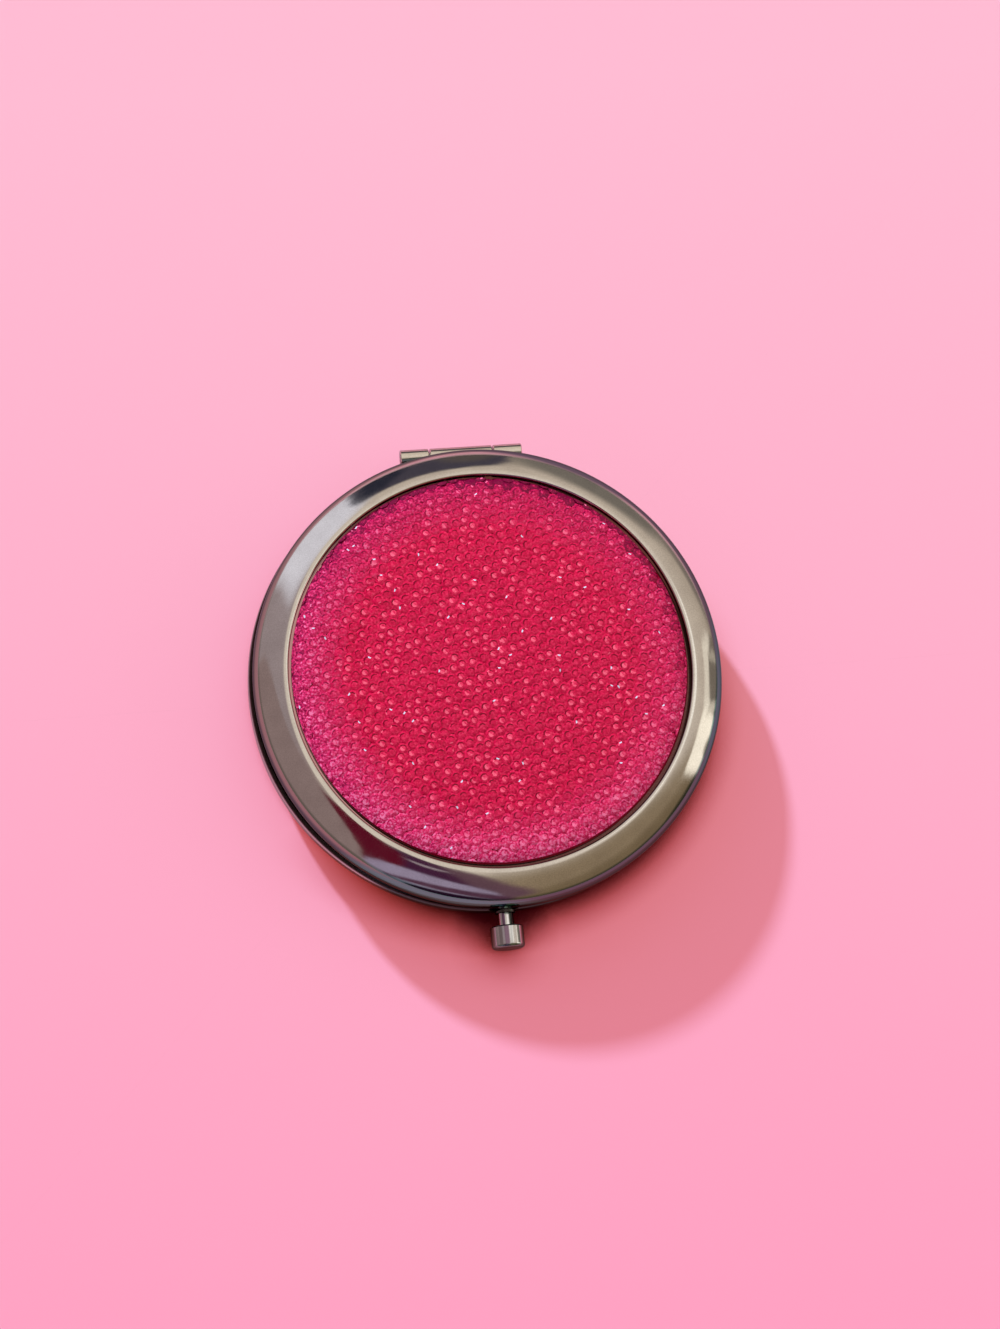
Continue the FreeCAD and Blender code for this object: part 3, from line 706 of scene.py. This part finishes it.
# tones by facet: girdle, table, bezel and crown, with painted light and shade, and the odd painted
# glint
def paintStone(stone, place, far, bearing, draw):
    s, f, e = stones, facets, edgeTones
    tone = stone.faces.layers.float.new("stoneTone")
    spark = stone.faces.layers.float.new("stoneSpark")
    rimward = stone.faces.layers.float.new("stoneRim")
    # painted sheen towards the edge, stronger on one bearing
    rim = max(0.0, min(1.0, (far - e["start"]) / e["width"]))
    rim *= e["mean"] + e["swing"] * math.cos(bearing - math.radians(e["bearing"]))
    # painted light near the edge on one side, painted shade on the other
    lee = e["lee"] * max(0.0, (far - e["leeStart"]) / e["leeWidth"]) ** 2
    lee *= math.cos(bearing - math.radians(e["leeBearing"]))
    # painted shadow of the lip near the edge, deepest on one side
    lipSide = max(0.0, math.cos(bearing - math.radians(e["lipBearing"])))
    lip = (e["lip"] + e["lipSwing"] * lipSide) * (far > e["lipStart"])
    home, turned = place.inverted(), place.to_3x3()
    # painted shade: bezel facets that face this side get a dark crescent, those opposite a little
    # lighter
    darkSide = Matrix.Rotation((draw["swing"] - 0.5) * f["darkSwing"], 3, "Z") @ f["darkSide"]
    bezels = []
    for index, face in enumerate(stone.faces):
        local = home @ face.calc_center_median()
        reach = math.hypot(local.x, local.y) / mm
        if local.z < s["girdleRise"] * f["girdleReach"] * mm:
            shade = f["girdle"]
        # painted highlight: the table lighter than the crown, more so in a random share of stones
        elif reach < s["table"] * f["tableReach"]:
            shade = f["table"] + f["tableLift"] * draw["lift"]
            if draw["bright"] < f["brightShare"]:
                shade = f["bright"] + f["brightLift"] * draw["lift"] + f["brightHalf"] * (index % 2)
        elif reach < s["bezel"]:
            side = (turned @ Vector((local.x, local.y, 0))).normalized().dot(darkSide)
            shade = f["bezel"] - f["crescent"] * max(0.0, side) - f["bezelSide"] * side
            bezels.append((side, face))
        else:
            shade = f["crown"] + f["crownLift"] * draw["crown"][index % len(draw["crown"])]
        face[tone] = shade + (e["level"] - shade) * e["pull"] * rim + lee - lip
        face[rimward] = rim
    bezels.sort(key=lambda pair: -pair[0])
    # painted glints: a spark on two facets of a few stones, a lighter facet on some more
    if draw["glintPick"] < f["sparkShare"]:
        first = int(draw["facet"] * f["sparkFacets"])
        bezels[first][1][spark] = 1.0
        bezels[first + 1][1][tone] = 1.0
    elif draw["glintPick"] < f["glintShare"]:
        bezels[int(draw["facet"] * len(bezels))][1][tone] = f["glint"]


def trimStone(stone, middle, outward, limit):  # cut off straight at the panel's edge
    cut = bmesh.ops.bisect_plane(stone, geom=stone.verts[:] + stone.edges[:] + stone.faces[:],
                                 plane_co=middle + outward * limit * mm, plane_no=outward,
                                 clear_outer=True)
    rim = [g for g in cut["geom_cut"] if isinstance(g, bmesh.types.BMEdge)]
    bmesh.ops.holes_fill(stone, edges=rim, sides=0)


def makeStones():
    s = stones
    dice = random.Random(s["seed"])
    pattern = cutStone()
    layer = bmesh.new()
    sheet = bpy.data.meshes.new("oneStone")
    limit = panel["radius"] - s["edgeGap"]
    middle = Vector((case["lidShift"] + s["shift"][0], s["shift"][1], 0)) * mm
    turn = math.radians(s["turn"])
    count = 0
    reach = int(limit / s["pitch"] * s["spread"])
    for row in range(-reach, reach + 1):
        for column in range(-reach, reach + 1):
            across = (column + row / 2) * s["pitch"]
            along = row * s["pitch"] * math.sqrt(3) / 2
            x = across * math.cos(turn) - along * math.sin(turn)
            y = across * math.sin(turn) + along * math.cos(turn)
            x += dice.uniform(-s["jitter"], s["jitter"])
            y += dice.uniform(-s["jitter"], s["jitter"])
            far = math.hypot(x, y)
            draw = stoneDraws(dice)
            if far > limit + s["girdle"] * s["edgeShare"]:
                continue
            place = stonePlace(x, y, draw)
            stone = pattern.copy()
            bmesh.ops.transform(stone, matrix=place, verts=stone.verts)
            paintStone(stone, place, far, math.atan2(y, x), draw)
            if far + s["girdle"] > limit:
                trimStone(stone, middle, Vector((x, y, 0)).normalized(), limit)
            stone.to_mesh(sheet)
            stone.free()
            layer.from_mesh(sheet)
            count += 1
    pattern.free()
    bpy.data.meshes.remove(sheet)
    bmesh.ops.recalc_face_normals(layer, faces=layer.faces)
    piece = bmeshObject("rhinestones", layer)
    piece.data.materials.append(stoneFinish())
    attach(piece, "lid")
    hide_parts("rhinestone_layer")
    print("stones set:", count, "faces:", len(piece.data.polygons))


# tones to colours: the red body, the pinker glitter and painted sheen towards the edge, and the
# painted glint
stoneLook = {"sockets": {"IOR": 1.55, "Specular IOR Level": 0.12},
             "speckle": (3000, 3), "speckleSpan": 0.22, "dust": (3300, 3), "dustSpan": 0.55,
             "body": ((0.02, (0.16, 0.0, 0.014)), (0.28, (0.44, 0.001, 0.04)),
                      (0.5, (0.63, 0.005, 0.07)), (0.75, (0.8, 0.035, 0.125)),
                      (1.0, (0.93, 0.13, 0.24))),
             "sheenGlitter": ((0.05, (0.18, 0.004, 0.06)), (0.38, (0.56, 0.02, 0.13)),
                         (0.62, (0.74, 0.03, 0.2)), (1.0, (0.86, 0.25, 0.54))),
             "sheenGlitterShare": 0.9, "spark": (0.62, 0.68, 0.92), "smear": (2600, 2),
             "rough": (0.1, 0.24), "strength": 0.3, "depth": 0.00005}


def stoneFinish():
    k = stoneLook
    finish, tree, shader = newFinish("crimsonStone", k["sockets"])
    tone, rim, spark = [attribute(tree, n) for n in ("stoneTone", "stoneRim", "stoneSpark")]
    speckle = objectNoise(tree, *k["speckle"])
    coarse = ranged(tree, speckle, -k["speckleSpan"], k["speckleSpan"])
    fine = ranged(tree, objectNoise(tree, *k["dust"]), -k["dustSpan"], k["dustSpan"])
    body = rampOf(tree, maths(tree, "ADD", tone, coarse), k["body"])
    sheenGlitter = rampOf(tree, maths(tree, "ADD", tone, fine), k["sheenGlitter"])
    body = blended(tree, ranged(tree, rim, 0, k["sheenGlitterShare"], 0, 1), body, sheenGlitter)
    # painted glint: spark facets take a pale blue-white
    tree.links.new(blended(tree, spark, body, k["spark"]), shader.inputs["Base Color"])
    tree.links.new(ranged(tree, objectNoise(tree, *k["smear"]), *k["rough"]),
                   shader.inputs["Roughness"])
    bumpOn(tree, shader, speckle, k["strength"], k["depth"])
    return finish


makeCrystalBase()
makeStones()
print("crystal panel made")


# small parts that keep the shape of their solids: welded copies with the flat faces joined up
flatAngle = 0.5


def weldedCopy(name, node, body, finish):
    bm = bmesh.new()
    bm.from_mesh(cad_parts[node].data)
    bmesh.ops.remove_doubles(bm, verts=bm.verts, dist=weldGap)
    bmesh.ops.dissolve_limit(bm, angle_limit=math.radians(flatAngle), verts=bm.verts,
                             edges=bm.edges)
    return finishPiece(bmeshObject(name, bm), body, finish, [node])


weldedCopy("lidHingeLeaf", "lid_hinge_leaf", "lid", hingeNickel)
weldedCopy("baseHingeLeaf", "base_hinge_leaf", "base", hingeNickel)
weldedCopy("hingePin", "hinge_pin", "base", pinSteel)
weldedCopy("latchBracket", "latch_bracket", "base", pinSteel)
weldedCopy("latchRivets", "latch_bracket_rivets", "base", pinSteel)
weldedCopy("catchTongue", "catch_tongue", "lid", springSteel)
weldedCopy("tongueRivets", "catch_tongue_rivets", "lid", pinSteel)
pushSpring = weldedCopy("pushSpring", "push_spring", "base", springSteel)
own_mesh(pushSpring)  # a mesh of its own
for node, finish in (("lid_tray_pad", padFoam), ("base_tray_pad", padFoam),
                     ("lid_mirror_tape", filmTape), ("base_mirror_tape", filmTape),
                     ("crystal_film", filmTape)):
    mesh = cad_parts[node].data
    mesh.materials.clear()
    mesh.materials.append(finish)
print("small parts made")


# floor, room light and key lamp; the key's bearing, height and breadth are in degrees
keyLight = {"bearing": 116.6, "height": 24.0, "power": 3.4, "angle": 3.6}

# spans are in metres, or in shares of shade; the front and back tones paint light, the dim and dark
# tones a shadow, and the glow a red light
ground = {"size": 8.0, "front": (0.52, 0.33, 0.57), "back": (0.52, 0.48, 0.69),
          "frontToBack": (-0.1, 0.1), "reach": 0.007, "samples": 12, "nearSpan": (0.42, 0.95),
          "leeSpan": (0.004, 0.03), "underSpan": (0.2, 0.5), "dimTone": (0.5, 0.14, 0.23),
          "dimSpan": (0, 0.45), "darkTone": (0.1, 0.003, 0.01), "darkSpan": (0.4, 0.8),
          "outerTone": (0.56, 0.42, 0.45), "outerSpan": (0.15, 0.45),
          "glow": (0.47, 0.035, 0.0, 1), "glowSpan": (0, 0.8)}


def makeFloor():
    g = ground
    bm = bmesh.new()
    bmesh.ops.create_grid(bm, x_segments=2, y_segments=2, size=g["size"])
    floor = bmeshObject("floor", bm)
    finish, tree, shader = newFinish("palePinkFloor", {
        "Roughness": 1.0, "Specular IOR Level": 0.0, "Emission Color": g["glow"]})
    coords = objectCoords(tree)
    along = splitAxes(tree, coords)["Y"]
    # painted light: the floor is lighter towards the back, on the key's side
    pink = blended(tree, ranged(tree, along, 0, 1, *g["frontToBack"]), g["front"], g["back"])
    # painted shadow, dim then dark, where the floor is shut away from the room light: close by on
    # the side away from the key, or underneath
    away = math.radians(keyLight["bearing"] + 180)
    lee = vectors(tree, "DOT_PRODUCT", coords, (math.cos(away), math.sin(away), 0))
    near = addNode(tree, "ShaderNodeAmbientOcclusion", {"Distance": g["reach"]},
                   samples=g["samples"]).outputs["AO"]
    shut = maths(tree, "MULTIPLY", ranged(tree, near, 1, 0, *g["nearSpan"]),
                 ranged(tree, lee, 0, 1, *g["leeSpan"]))
    shut = maths(tree, "MAXIMUM", shut, ranged(tree, near, 1, 0, *g["underSpan"]))
    pink = blended(tree, ranged(tree, shut, 0, 1, *g["dimSpan"]), pink, g["dimTone"])
    pink = blended(tree, ranged(tree, shut, 0, 1, *g["darkSpan"]), pink, g["darkTone"])
    outer = ranged(tree, fromAxis(tree, baseAt), 0, 1, *g["outerSpan"])
    tree.links.new(blended(tree, outer, pink, g["outerTone"]), shader.inputs["Base Color"])
    # painted light: the red glow that warms the shadow is seen and mirrored, and lights nothing
    path = addNode(tree, "ShaderNodeLightPath").outputs
    seen = maths(tree, "ADD", path["Is Camera Ray"], path["Is Glossy Ray"])
    seen = maths(tree, "ADD", seen, path["Is Transmission Ray"], use_clamp=True)
    uncovered = ranged(tree, maths(tree, "MAXIMUM", shut, outer), 1, 0, *g["glowSpan"])
    tree.links.new(maths(tree, "MULTIPLY", seen, uncovered), shader.inputs["Emission Strength"])
    floor.data.materials.append(finish)


# walls, panels and flags of the room, in degrees:
# bearing, half width, tilt from straight up, half height, slant, corner, softness, colour
greyWall = (0.36, 0.27, 0.28)
roomPanels = [
    (-168, 46, 72, 46, 0, 4, 0.12, greyWall),
    (152, 27, 72, 40, 0, 4, 0.4, (0.45, 0.38, 0.42)),
    (-52, 37, 80, 48, 0, 4, 0.4, (0.36, 0.28, 0.19)),
    (-50, 32, 98, 30, 0, 4, 0.4, (0.24, 0.18, 0.11)),
    (121, 14, 74, 28, 0, 4, 0.35, (1.0, 1.03, 1.22)),
    (58, 17, 86, 24, 0, 2, 0.35, (0.26, 0.24, 0.22)),
    (93, 17.5, 84, 27, 0, 4, 0.09, (0.085, 0.078, 0.115)),
    (103, 5, 80, 20, -0.1, 2, 0.4, (0.035, 0.038, 0.065)),
    (84, 5, 92, 18, 0, 2, 0.5, (0.14, 0.12, 0.12)),
    (9, 9.5, 72, 13, 0, 4, 0.15, (1.1, 1.04, 0.94)),
    (-7, 9.5, 78, 21.5, 0, 4, 0.08, (1.55, 1.5, 1.36)),
    (8.5, 9.5, 88, 19, 0, 2, 0.12, (0.25, 0.22, 0.19)),
    (1.5, 1.1, 84, 14, 0.05, 4, 0.4, (0.9, 0.85, 0.75)),
    (13, 1, 86, 13, -0.05, 4, 0.4, (0.65, 0.6, 0.52)),
    (-9, 2.4, 85, 6, 0, 2, 0.4, (0.6, 0.54, 0.47)),
    (-24, 7, 82, 4.5, 0, 2, 0.3, (0.1, 0.085, 0.05)),
    (33, 13, 94, 13, 0, 2, 0.35, (0.3, 0.26, 0.24)),
    (-101, 20, 47, 26, 0.33, 4, 0.16, (0.17, 0.09, 0.13)),
    (-110, 13, 47, 26, 0.33, 4, 0.35, (0.08, 0.02, 0.07)),
    (-142, 22, 46, 24, 0, 4, 0.06, (0.145, 0.008, 0.028)),
    (-168, 35, 69, 38, 0, 2, 0.035, greyWall),
    (-109, 23, 71, 27, 0, 2, 0.07, (0.43, 0.37, 0.57)),
    (-103, 21, 79, 21, 0, 2, 0.1, (0.12, 0.05, 0.1)),
    (-106, 16, 82, 15.5, 0, 2, 0.12, (0.36, 0.31, 0.46)),
    (-103, 14, 86, 16, 0, 2, 0.12, (0.05, 0.01, 0.04)),
    (-111, 8, 30, 1.6, 0, 2, 0.4, (0.5, 0.42, 0.5)),
    (24, 16, 25, 13, 0, 4, 0.2, (1.4, 1.38, 1.33)),
]
room = {"sky": ((0.0, (0.55, 0.47, 0.4)), (0.6, (0.78, 0.7, 0.62)), (1.0, (1.0, 0.93, 0.86))),
        "ripple": 2.5, "rippleScale": 9, "rippleDetail": 4, "halfTurn": 180}


def panelShare(tree, spot, at, width, level, reach, slant, corner, soft):
    half = (room["halfTurn"],) * 3
    off = vectors(tree, "SUBTRACT", spot, (at, level, 0))
    off = vectors(tree, "WRAP", off, half, [-h for h in half])
    if slant:
        leant = vectors(tree, "DOT_PRODUCT", off, (1, -slant, 0))
        height = vectors(tree, "DOT_PRODUCT", off, (0, 1, 0))
        off = addNode(tree, "ShaderNodeCombineXYZ", {0: leant, 1: height}).outputs[0]
    off = vectors(tree, "MULTIPLY", off, (1 / width, 1 / reach, 0))
    if corner == 4:  # squarer than an ellipse
        off = vectors(tree, "MULTIPLY", off, off)
    out = vectors(tree, "DOT_PRODUCT", off, off)
    share = addNode(tree, "ShaderNodeMapRange", {"Value": out, "From Min": (1 + soft) ** corner,
                                                 "From Max": (1 - soft) ** corner},
                    interpolation_type="SMOOTHSTEP")
    return share.outputs["Result"]


def makeRoom():
    world = bpy.data.worlds.new("studioRoom")
    scene.world = world
    world.use_nodes = True
    tree = world.node_tree
    heading = addNode(tree, "ShaderNodeTexCoord").outputs["Generated"]
    axes = splitAxes(tree, heading)
    ripple = addNode(tree, "ShaderNodeTexNoise", {"Vector": heading, "Scale": room["rippleScale"],
                                                  "Detail": room["rippleDetail"]})
    shake = [maths(tree, "MULTIPLY", maths(tree, "SUBTRACT", r, 0.5), room["ripple"])
             for r in splitAxes(tree, ripple.outputs["Color"])[:2]]
    angles = (maths(tree, "ARCTAN2", axes["Y"], axes["X"]), maths(tree, "ARCCOSINE", axes["Z"]))
    degree = 180 / math.pi
    bearing, tilt = [maths(tree, "ADD", maths(tree, "MULTIPLY", angle, degree), off)
                     for angle, off in zip(angles, shake)]
    spot = addNode(tree, "ShaderNodeCombineXYZ", {0: bearing, 1: tilt}).outputs[0]
    colour = rampOf(tree, axes["Z"], room["sky"])
    for *shape, paint in roomPanels:
        colour = blended(tree, panelShare(tree, spot, *shape), colour, paint)
    tree.links.new(colour, tree.nodes["Background"].inputs["Color"])


def makeKey():
    lamp = bpy.data.lights.new("keyLamp", "SUN")
    lamp.energy = keyLight["power"]
    lamp.angle = math.radians(keyLight["angle"])
    key = bpy.data.objects.new("keyLamp", lamp)
    scene.collection.objects.link(key)
    a, e = math.radians(keyLight["bearing"]), math.radians(keyLight["height"])
    towards = Vector((math.cos(a) * math.cos(e), math.sin(a) * math.cos(e), math.sin(e)))
    key.rotation_euler = towards.to_track_quat("Z", "Y").to_euler()
    key.location = towards
    key.visible_glossy = False


# camera fitted to the photo: mm and degrees, focal length in pixels of a frame 1329 high
sight = {"eye": (-47.01, -94.63, 391.28), "aim": (2.72, 1.89, 6.3), "roll": -5.83, "focal": 2674,
         "frame": 1329, "sensor": 36, "clip": (0.01, 20)}


def makeCamera():
    eye, aim = Vector(sight["eye"]) * mm, Vector(sight["aim"]) * mm
    look = (aim - eye).normalized()
    right = look.cross(Vector((0, 1, 0))).normalized()
    above = right.cross(look)
    roll = Matrix.Rotation(math.radians(sight["roll"]), 3, "Z")
    turn = Matrix((right, above, -look)).transposed() @ roll
    lens = bpy.data.cameras.new("camera")
    lens.sensor_width = sight["sensor"]
    lens.lens = sight["focal"] * sight["sensor"] / sight["frame"]
    lens.clip_start, lens.clip_end = sight["clip"]
    camera = bpy.data.objects.new("camera", lens)
    scene.collection.objects.link(camera)
    camera.matrix_world = Matrix.Translation(eye) @ turn.to_4x4()
    scene.camera = camera


makeFloor()
makeRoom()
makeKey()
makeCamera()
scene.view_settings.view_transform = "Standard"
print("stage made")
